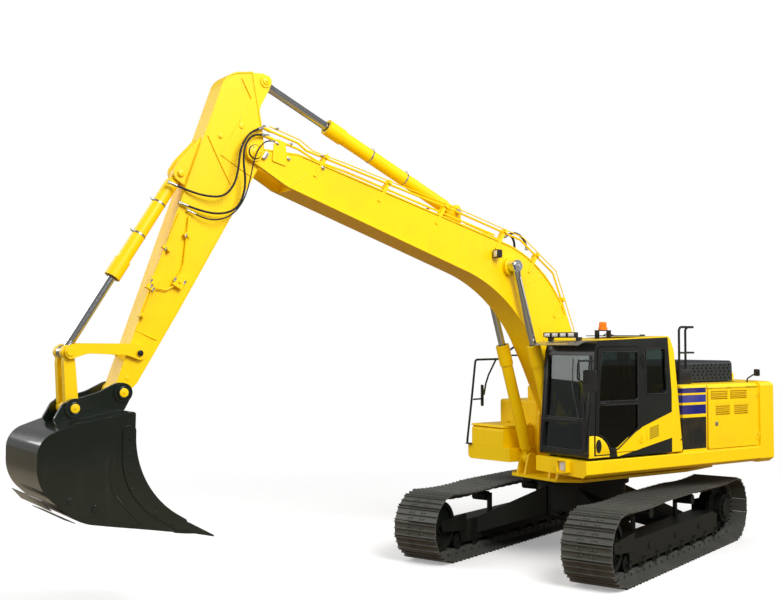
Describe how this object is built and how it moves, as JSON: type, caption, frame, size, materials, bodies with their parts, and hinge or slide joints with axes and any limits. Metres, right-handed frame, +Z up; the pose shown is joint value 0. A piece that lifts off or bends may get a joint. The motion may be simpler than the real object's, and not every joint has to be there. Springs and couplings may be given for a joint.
{
  "type": "crawler excavator",
  "caption": "Tracked excavator with a cranked boom, digging arm, toothed bucket and hydraulic cylinders on a slewing upper body with a side cab and rear counterweight.",
  "frame": {"origin": "on the ground, under the middle of the whole machine in its parked pose", "axes": "+X forward along the boom, +Y to the cab's side, +Z up"},
  "size_m": [11.2104, 4.705, 6.3379],
  "materials": {
    "body_yellow": "semi-gloss machine paint",
    "frame_dark": "satin dark paint with dust",
    "track_steel": "worn rolled steel",
    "bucket_dark": "dark paint, scuffed",
    "tooth_steel": "cast steel",
    "rod_chrome": "polished hard chrome",
    "cab_black": "satin black paint",
    "clear_glass": "tinted safety glass",
    "seat_fabric": "woven cloth",
    "trim_plastic": "grained plastic",
    "rail_black": "powder coat",
    "cover_grey": "satin grey paint",
    "amber_lens": "clear moulded",
    "engine_iron": "cast block",
    "hose_rubber": "braided cover"
  },
  "bodies": {
    "undercarriage": {"undercarriage_frame": "frame_dark", "track_left": "track_steel", "track_right": "track_steel", "idlers": "frame_dark", "sprockets": "frame_dark", "track_rollers": "frame_dark", "carrier_rollers": "frame_dark", "swing_bearing": "frame_dark", "towing_eyes": "frame_dark"},
    "cooling_door": {"cooling_door": "body_yellow"},
    "pump_door": {"pump_door": "body_yellow"},
    "engine_cover": {"engine_cover": "cover_grey"},
    "tool_box_lid": {"tool_box_lid": "body_yellow"},
    "cab_door": {"cab_door": "cab_black", "door_glass": "clear_glass"},
    "boom_cylinder_tubes": {"boom_cylinder_tubes": "body_yellow"},
    "boom_cylinder_rods": {"boom_cylinder_rods": "rod_chrome"},
    "arm_cylinder_tube": {"arm_cylinder_tube": "body_yellow"},
    "arm_cylinder_rod": {"arm_cylinder_rod": "rod_chrome"},
    "bucket_cylinder_tube": {"bucket_cylinder_tube": "body_yellow"},
    "bucket_cylinder_rod": {"bucket_cylinder_rod": "rod_chrome"},
    "boom": {"boom": "body_yellow", "boom_pipes": "body_yellow", "boom_lamp": "body_yellow", "hose_outer": "hose_rubber", "hose_inner": "hose_rubber", "hose_thin": "hose_rubber"},
    "arm": {"arm": "body_yellow", "arm_pipes": "body_yellow"},
    "tension_link": {"tension_link": "body_yellow"},
    "bucket_link": {"bucket_link": "body_yellow"},
    "bucket": {"bucket": "bucket_dark", "bucket_teeth": "tooth_steel"},
    "upper": {"revolving_frame": "body_yellow", "counterweight": "body_yellow", "left_body": "body_yellow", "pump_room": "body_yellow", "hydraulic_tank": "body_yellow", "fuel_tank": "body_yellow", "tool_box": "body_yellow", "engine_hood": "body_yellow", "engine": "engine_iron", "battery_room": "body_yellow", "cab_shell": "cab_black", "cab_glass": "clear_glass", "seat": "seat_fabric", "cab_consoles": "trim_plastic", "hand_rails": "rail_black", "mirrors": "trim_plastic", "lifting_eyes": "body_yellow", "work_lamps": "trim_plastic", "beacon": "amber_lens"}
  },
  "joints": [
    {"name": "swing", "type": "hinge", "parent": "undercarriage", "child": "upper", "pos_m": [-2.58521, 0, 1.02], "axis": [0, 0, 1], "continuous": true},
    {"name": "boom_lift", "type": "hinge", "parent": "upper", "child": "boom", "pos_m": [-2.18521, 0, 2.016], "axis": [0, -1, 0], "range_deg": [-70, 27]},
    {"name": "arm_swing", "type": "hinge", "parent": "boom", "child": "arm", "pos_m": [2.98575, 0, 5.34335], "axis": [0, 1, 0], "range_deg": [-60, 51], "deforming": ["hose_outer", "hose_inner", "hose_thin"]},
    {"name": "bucket_curl", "type": "hinge", "parent": "arm", "child": "bucket", "pos_m": [4.58021, 0, 2.52974], "axis": [0, 1, 0], "range_deg": [-96, 84]},
    {"name": "boom_tube_pivot", "type": "hinge", "parent": "upper", "child": "boom_cylinder_tubes", "pos_m": [-1.83221, 0, 1.365], "axis": [0, -1, 0], "range_deg": [-62.12, 24.08]},
    {"name": "boom_rod_slide", "type": "slide", "parent": "boom_cylinder_tubes", "child": "boom_cylinder_rods", "axis": [0.2859, 0, 0.9582], "range_m": [-0.76326, 0.29563]},
    {"name": "arm_tube_pivot", "type": "hinge", "parent": "boom", "child": "arm_cylinder_tube", "pos_m": [-0.15981, 0, 4.86517], "axis": [0, -1, 0], "range_deg": [-1.96, 2.28]},
    {"name": "arm_rod_slide", "type": "slide", "parent": "arm_cylinder_tube", "child": "arm_cylinder_rod", "axis": [0.9052, 0, 0.4249], "range_m": [-0.83557, 0.71053]},
    {"name": "tension_link_pivot", "type": "hinge", "parent": "arm", "child": "tension_link", "pos_m": [4.38367, 0, 2.95973], "axis": [0, -1, 0], "range_deg": [-49.76, 56.84]},
    {"name": "bucket_link_pivot", "type": "hinge", "parent": "tension_link", "child": "bucket_link", "pos_m": [5.15721, 0, 2.97574], "axis": [0, -1, 0], "range_deg": [-62.6, 54.8]},
    {"name": "bucket_tube_pivot", "type": "hinge", "parent": "arm", "child": "bucket_cylinder_tube", "pos_m": [3.86825, 0, 5.02738], "axis": [0, -1, 0], "range_deg": [-6.92, 7.88]},
    {"name": "bucket_rod_slide", "type": "slide", "parent": "bucket_cylinder_tube", "child": "bucket_cylinder_rod", "axis": [0.532, 0, -0.8468], "range_m": [-0.67221, 0.58843]},
    {"name": "cab_door_hinge", "type": "hinge", "parent": "upper", "child": "cab_door", "pos_m": [-2.32922, 1.43, 2.3], "axis": [0, 0, 1], "range_deg": [0, 170]},
    {"name": "cooling_door_hinge", "type": "hinge", "parent": "upper", "child": "cooling_door", "pos_m": [-4.88722, 1.416, 1.96], "axis": [0, 0, 1], "range_deg": [0, 100]},
    {"name": "pump_door_hinge", "type": "hinge", "parent": "upper", "child": "pump_door", "pos_m": [-3.78322, -1.416, 1.96], "axis": [0, 0, 1], "range_deg": [0, 105]},
    {"name": "engine_cover_hinge", "type": "hinge", "parent": "upper", "child": "engine_cover", "pos_m": [-4.33021, -0.65, 2.489], "axis": [1, 0, 0], "range_deg": [0, 65]},
    {"name": "tool_box_lid_hinge", "type": "hinge", "parent": "upper", "child": "tool_box_lid", "pos_m": [-2.14821, -0.96, 1.836], "axis": [0, -1, 0], "range_deg": [0, 80]}
  ],
  "couplings": [
    {"joint": "boom_tube_pivot", "follows": "boom_lift", "ratio": 0.8846},
    {"joint": "boom_rod_slide", "follows": "boom_lift", "m_per_rad": 0.6231},
    {"joint": "arm_tube_pivot", "follows": "arm_swing", "ratio": -0.0346},
    {"joint": "arm_rod_slide", "follows": "arm_swing", "m_per_rad": 0.796},
    {"joint": "tension_link_pivot", "follows": "bucket_curl", "ratio": -0.59},
    {"joint": "bucket_link_pivot", "follows": "bucket_curl", "ratio": 0.65},
    {"joint": "bucket_tube_pivot", "follows": "bucket_curl", "ratio": -0.08},
    {"joint": "bucket_rod_slide", "follows": "bucket_curl", "m_per_rad": 0.4}
  ]
}
